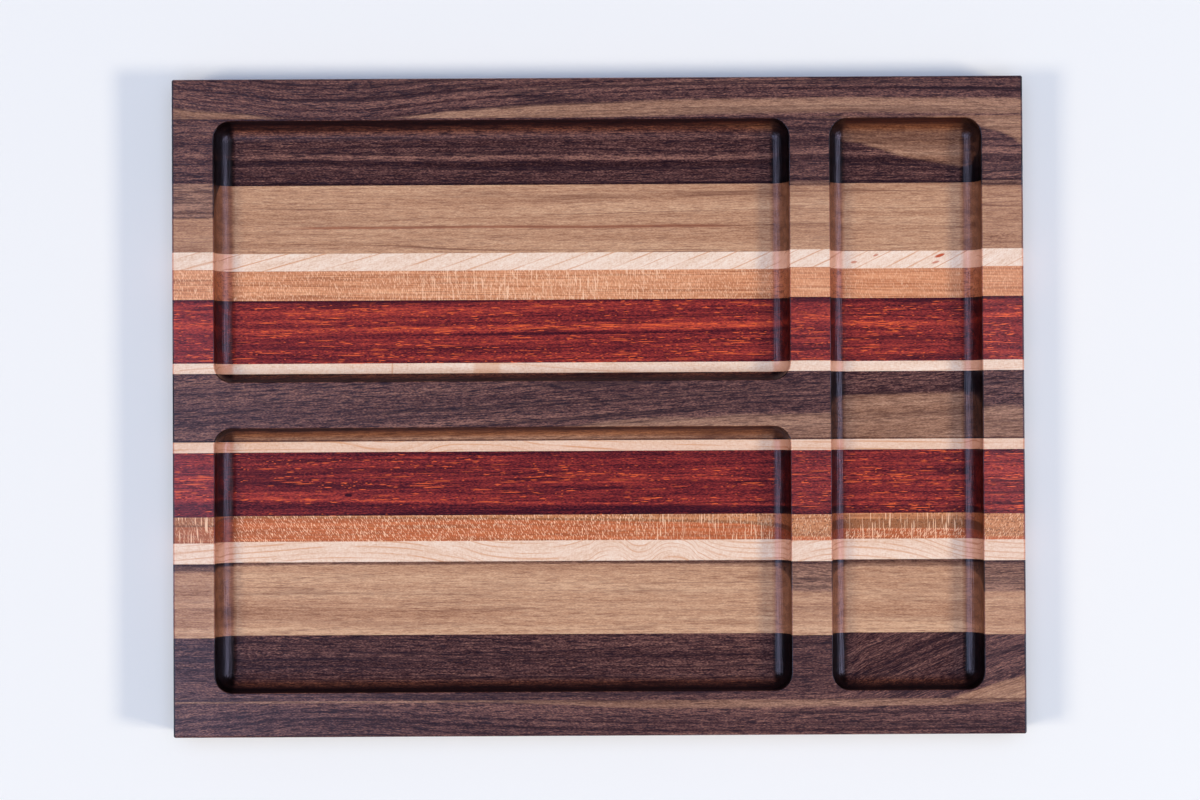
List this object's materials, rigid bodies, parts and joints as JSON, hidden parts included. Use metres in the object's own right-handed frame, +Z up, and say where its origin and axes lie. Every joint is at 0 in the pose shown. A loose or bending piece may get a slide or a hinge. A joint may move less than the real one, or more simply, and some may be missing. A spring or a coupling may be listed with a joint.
{
  "type": "valet tray",
  "caption": "Flat rectangular valet tray of striped hardwood strips glued side by side, with coved pockets routed in the top for keys, phone and pens.",
  "frame": {"origin": "centre of the flat underside, on the plane the tray rests on", "axes": "+X along the strips towards the long cross pocket, +Y towards the back edge, +Z up out of the pockets"},
  "size_m": [0.3048, 0.2354, 0.0191],
  "materials": {
    "walnut": "satin oiled walnut heartwood",
    "light_walnut": "satin oiled light walnut",
    "maple": "satin oiled maple",
    "cherry": "satin oiled cherry",
    "padauk": "satin oiled padauk"
  },
  "bodies": {
    "root": {"back_outer_walnut_strip": "walnut", "back_walnut_strip": "walnut", "back_light_walnut_strip": "light_walnut", "back_maple_strip": "maple", "back_cherry_strip": "cherry", "back_padauk_strip": "padauk", "back_thin_maple_strip": "maple", "centre_walnut_strip": "walnut", "front_thin_maple_strip": "maple", "front_padauk_strip": "padauk", "front_cherry_strip": "cherry", "front_maple_strip": "maple", "front_light_walnut_strip": "light_walnut", "front_walnut_strip": "walnut", "front_outer_walnut_strip": "walnut"}
  },
  "joints": []
}
